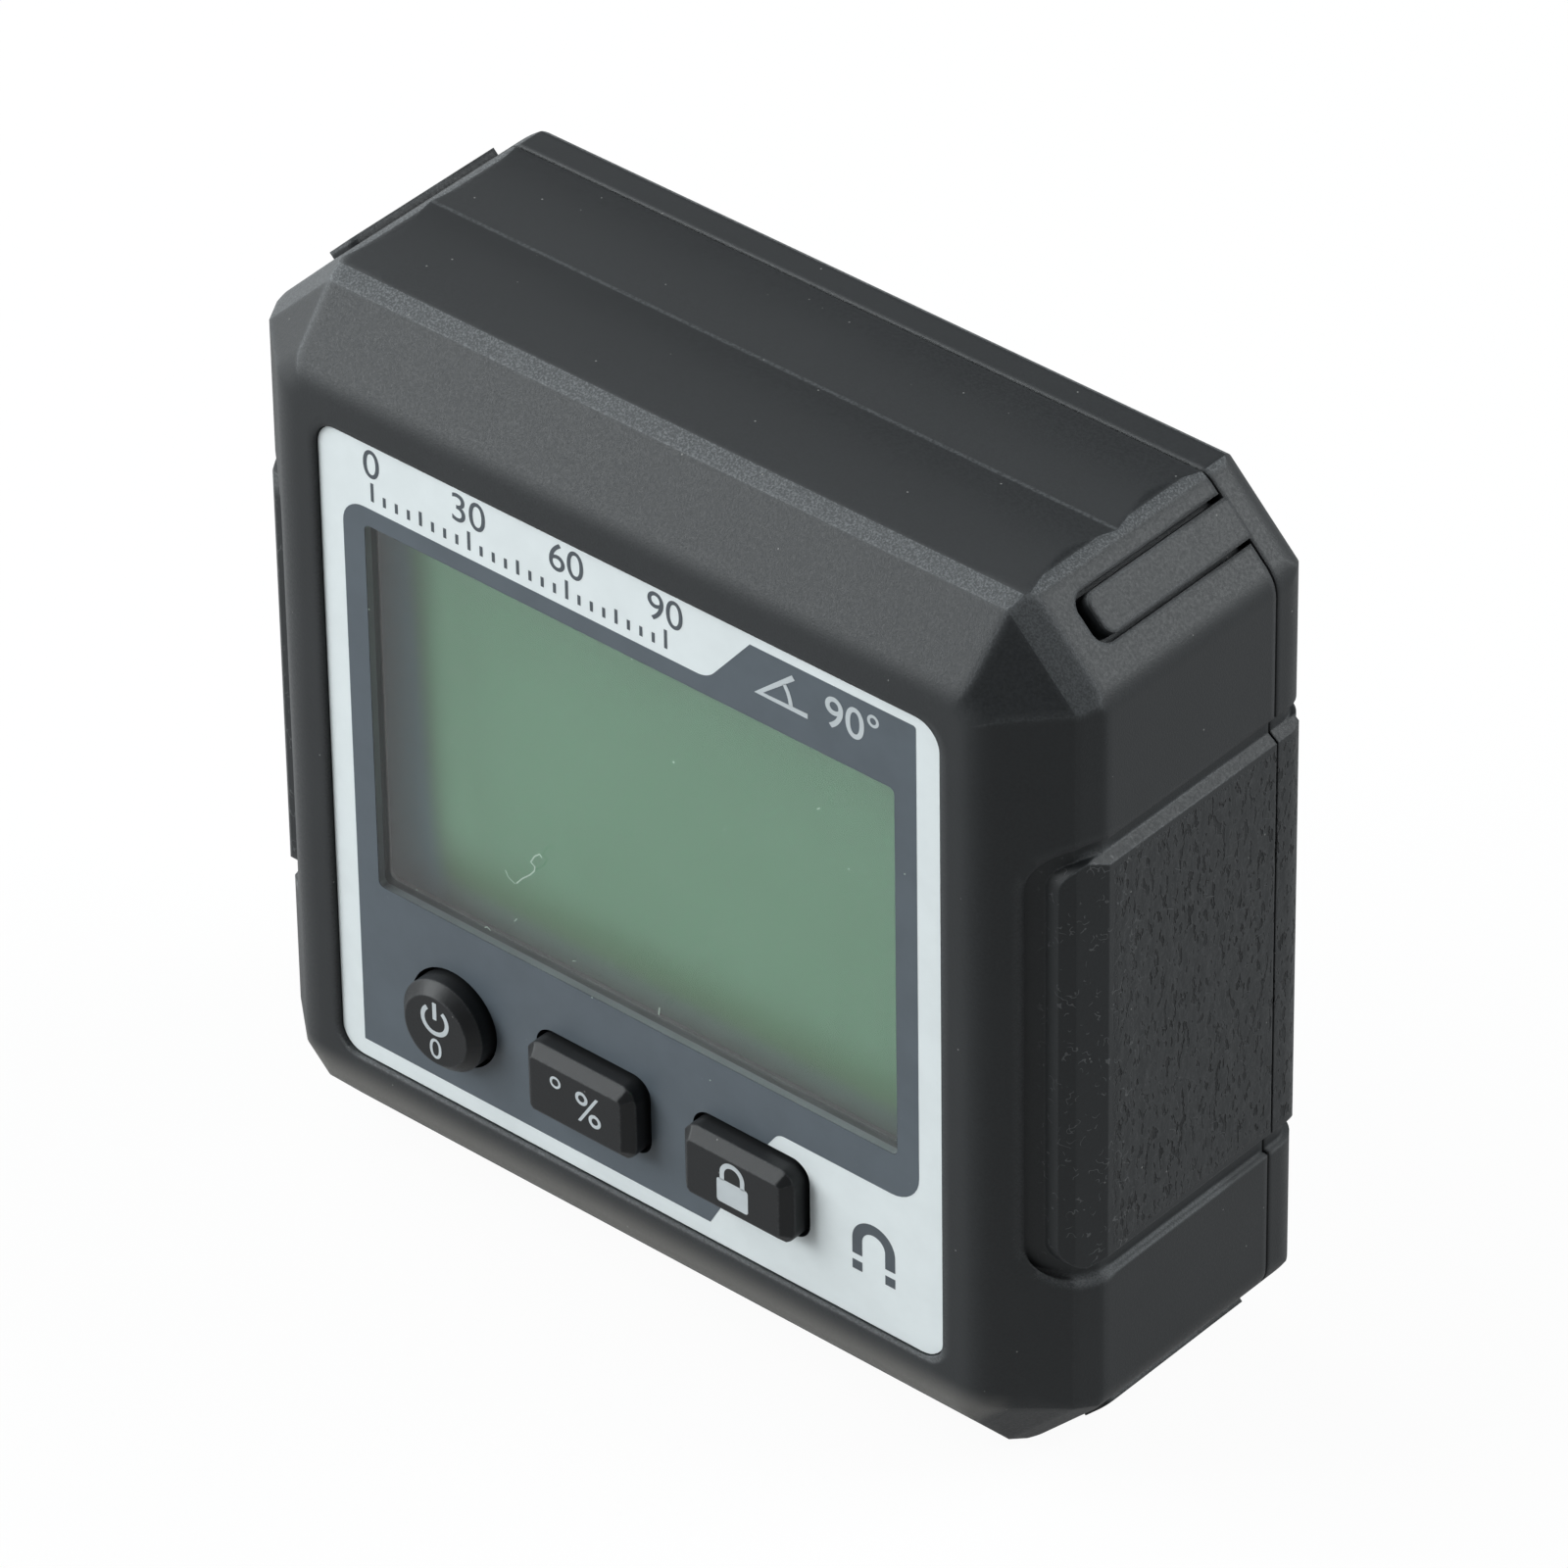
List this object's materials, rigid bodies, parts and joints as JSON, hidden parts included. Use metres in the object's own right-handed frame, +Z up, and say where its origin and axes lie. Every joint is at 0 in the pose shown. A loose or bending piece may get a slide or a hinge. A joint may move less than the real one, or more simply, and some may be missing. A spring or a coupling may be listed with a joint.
{
  "type": "digital angle gauge",
  "caption": "Square pocket angle gauge with a backlit display behind a printed face, push keys, grained side grips, magnetic base and a rear battery door.",
  "frame": {"origin": "bottom centre of the bounding box, on the plane of the magnetic base", "axes": "+Z up, -Y towards the display and keys, +X to the right seen from the front"},
  "size_m": [0.0604, 0.0242, 0.0587],
  "materials": {
    "housing_plastic": "fine spark-eroded texture, charcoal black",
    "door_plastic": "fine spark-eroded texture, charcoal black",
    "panel_print": "clear sheet printed white and slate grey, with a clear window",
    "key_plastic": "matt black with white legends",
    "display": "satin front polariser, green-grey",
    "light_guide": "milky translucent",
    "strip_rubber": "soft layered strip",
    "board_laminate": "green solder mask",
    "switch_metal": "pressed can",
    "chip_resin": "moulded resin",
    "sensor_can": "plated lid",
    "screw_steel": "zinc plated",
    "cell_jacket": "plain sleeve",
    "contact_metal": "nickel plated",
    "magnet_plating": "nickel plated"
  },
  "bodies": {
    "housing": {"front_housing": "housing_plastic", "back_cover": "housing_plastic", "face_panel": "panel_print", "lcd_glass": "display", "backlight": "light_guide", "lcd_connectors": "strip_rubber", "main_board": "board_laminate", "key_switches": "switch_metal", "controller_chip": "chip_resin", "tilt_sensor": "sensor_can", "board_screws": "screw_steel", "battery_cells": "cell_jacket", "contact_springs": "contact_metal", "contact_plates": "contact_metal", "base_magnets": "magnet_plating", "case_screws": "screw_steel"},
    "power_key": {"power_button": "key_plastic"},
    "unit_key": {"unit_button": "key_plastic"},
    "hold_key": {"hold_button": "key_plastic"},
    "door": {"battery_door": "door_plastic"}
  },
  "joints": [
    {"name": "power_press", "type": "slide", "parent": "housing", "child": "power_key", "axis": [0, 1, 0], "range_m": [0, 0.0006], "stiffness_N_per_m": 400},
    {"name": "unit_press", "type": "slide", "parent": "housing", "child": "unit_key", "axis": [0, 1, 0], "range_m": [0, 0.0006], "stiffness_N_per_m": 400},
    {"name": "hold_press", "type": "slide", "parent": "housing", "child": "hold_key", "axis": [0, 1, 0], "range_m": [0, 0.0006], "stiffness_N_per_m": 400},
    {"name": "door_hinge", "type": "hinge", "parent": "housing", "child": "door", "pos_m": [0, 0.0121, 0.0186], "axis": [-1, 0, 0], "range_deg": [0, 55]}
  ]
}
